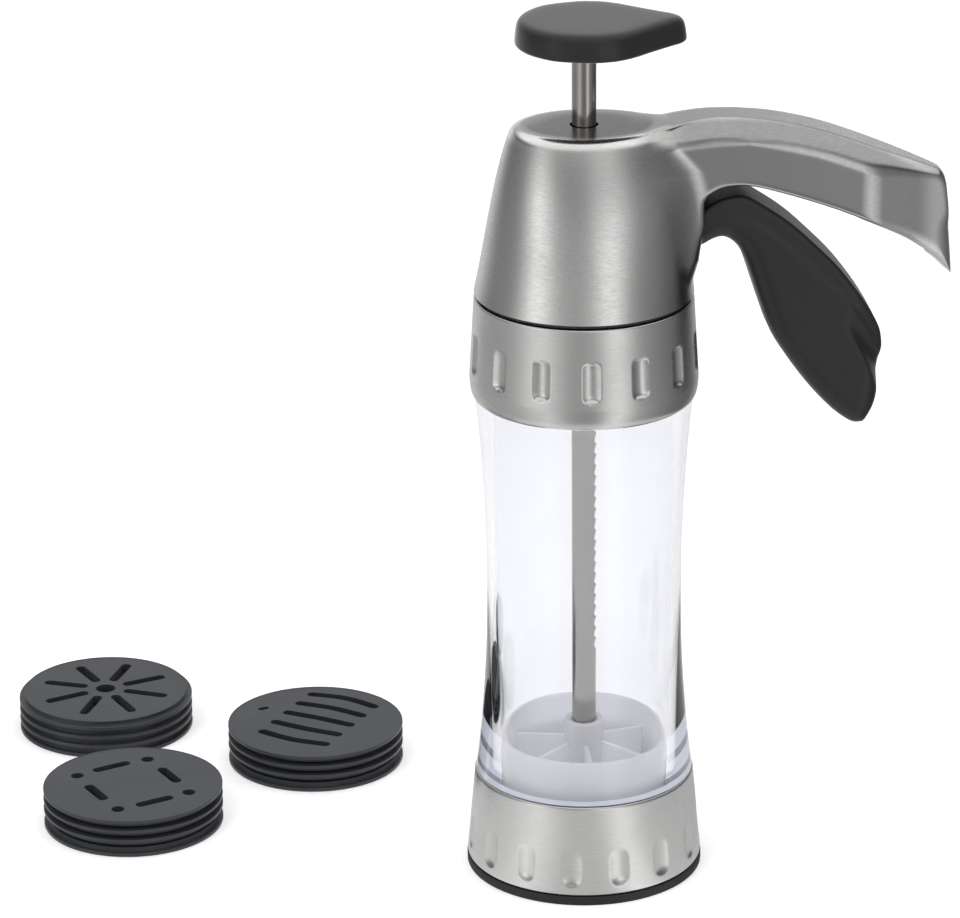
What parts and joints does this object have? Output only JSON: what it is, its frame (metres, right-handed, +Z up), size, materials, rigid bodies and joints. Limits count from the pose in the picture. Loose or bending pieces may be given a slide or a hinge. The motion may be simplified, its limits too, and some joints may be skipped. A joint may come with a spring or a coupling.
{
  "type": "cookie press",
  "caption": "Lever-action cookie press with a clear barrel, steel head and arm, ratchet rod with knob, and stacks of loose shaping dies.",
  "frame": {"origin": "on the floor, at the middle of the footprint of the press and its three stacks of dies", "axes": "+Z up along the press's barrel, +X the way its handle points, +Y towards the stacks of dies"},
  "size_m": [0.2462, 0.1606, 0.236],
  "materials": {
    "brushed_steel": "brushed, with a fine grain round the collars and up the head",
    "bright_steel": "smooth bright steel",
    "clear_plastic": "clear, thick-walled and glossy",
    "milky_plastic": "milky and slightly translucent",
    "white_plastic": "plain white bearing plastic",
    "black_plastic": "hard matt black",
    "soft_black": "soft matt grip",
    "dark_plastic": "dark grey, satin",
    "rubber": "matt black rubber"
  },
  "bodies": {
    "base": {"foot_ring": "rubber", "base_collar": "brushed_steel", "base_insert": "black_plastic"},
    "barrel": {"barrel": "clear_plastic", "upper_collar": "brushed_steel", "collar_ring": "black_plastic"},
    "head": {"head_shell": "brushed_steel", "head_frame": "black_plastic", "lower_rod_bush": "white_plastic", "upper_rod_bush": "white_plastic", "friction_ring": "rubber", "lever_pin": "bright_steel", "return_spring": "bright_steel", "head_screw_1": "bright_steel", "head_screw_2": "bright_steel", "head_screw_3": "bright_steel"},
    "lever": {"lever_core": "black_plastic", "lever_grip": "soft_black", "pawl_pin": "bright_steel"},
    "pawl": {"drive_pawl": "bright_steel"},
    "piston": {"piston": "milky_plastic"},
    "rod": {"rod": "bright_steel", "piston_screw": "bright_steel", "knob": "soft_black", "knob_core": "black_plastic"},
    "die_front_1": {"die_front_1": "dark_plastic"},
    "die_front_2": {"die_front_2": "dark_plastic"},
    "die_front_3": {"die_front_3": "dark_plastic"},
    "die_front_4": {"die_front_4": "dark_plastic"},
    "die_side_1": {"die_side_1": "dark_plastic"},
    "die_side_2": {"die_side_2": "dark_plastic"},
    "die_side_3": {"die_side_3": "dark_plastic"},
    "die_side_4": {"die_side_4": "dark_plastic"},
    "die_back_1": {"die_back_1": "dark_plastic"},
    "die_back_2": {"die_back_2": "dark_plastic"},
    "die_back_3": {"die_back_3": "dark_plastic"},
    "die_back_4": {"die_back_4": "dark_plastic"}
  },
  "joints": [
    {"name": "barrel_twist", "type": "hinge", "parent": "base", "child": "barrel", "pos_m": [0.02665, -0.04875, 0.0275], "axis": [0, 0, 1], "range_deg": [0, 45]},
    {"name": "head_twist", "type": "hinge", "parent": "barrel", "child": "head", "pos_m": [0.02665, -0.04875, 0.1613], "axis": [0, 0, 1], "range_deg": [0, 45]},
    {"name": "lever_squeeze", "type": "hinge", "parent": "head", "child": "lever", "pos_m": [0.04615, -0.04875, 0.178], "axis": [0, -1, 0], "range_deg": [0, 28], "stiffness_Nm_per_rad": 0.08, "springref_deg": -20.05, "deforming": ["return_spring"]},
    {"name": "pawl_swing", "type": "hinge", "parent": "lever", "child": "pawl", "pos_m": [0.03548, -0.04875, 0.18066], "axis": [0, -1, 0], "range_deg": [-28, 0]},
    {"name": "piston_slide", "type": "slide", "parent": "head", "child": "piston", "axis": [0, 0, 1], "range_m": [0, 0.1152]},
    {"name": "rod_turn", "type": "hinge", "parent": "piston", "child": "rod", "pos_m": [0.02665, -0.04875, 0.229], "axis": [0, 0, 1], "continuous": true},
    {"name": "die_front_1_lift", "type": "slide", "parent": "base", "child": "die_front_1", "axis": [0, 0, 1], "range_m": [0, 0.03]},
    {"name": "die_front_2_lift", "type": "slide", "parent": "die_front_1", "child": "die_front_2", "axis": [0, 0, 1], "range_m": [0, 0.03]},
    {"name": "die_front_3_lift", "type": "slide", "parent": "die_front_2", "child": "die_front_3", "axis": [0, 0, 1], "range_m": [0, 0.03]},
    {"name": "die_front_4_lift", "type": "slide", "parent": "die_front_3", "child": "die_front_4", "axis": [0, 0, 1], "range_m": [0, 0.03]},
    {"name": "die_side_1_lift", "type": "slide", "parent": "base", "child": "die_side_1", "axis": [0, 0, 1], "range_m": [0, 0.03]},
    {"name": "die_side_2_lift", "type": "slide", "parent": "die_side_1", "child": "die_side_2", "axis": [0, 0, 1], "range_m": [0, 0.03]},
    {"name": "die_side_3_lift", "type": "slide", "parent": "die_side_2", "child": "die_side_3", "axis": [0, 0, 1], "range_m": [0, 0.03]},
    {"name": "die_side_4_lift", "type": "slide", "parent": "die_side_3", "child": "die_side_4", "axis": [0, 0, 1], "range_m": [0, 0.03]},
    {"name": "die_back_1_lift", "type": "slide", "parent": "base", "child": "die_back_1", "axis": [0, 0, 1], "range_m": [0, 0.03]},
    {"name": "die_back_2_lift", "type": "slide", "parent": "die_back_1", "child": "die_back_2", "axis": [0, 0, 1], "range_m": [0, 0.03]},
    {"name": "die_back_3_lift", "type": "slide", "parent": "die_back_2", "child": "die_back_3", "axis": [0, 0, 1], "range_m": [0, 0.03]},
    {"name": "die_back_4_lift", "type": "slide", "parent": "die_back_3", "child": "die_back_4", "axis": [0, 0, 1], "range_m": [0, 0.03]}
  ],
  "couplings": [
    {"joint": "pawl_swing", "follows": "lever_squeeze", "ratio": -1}
  ]
}
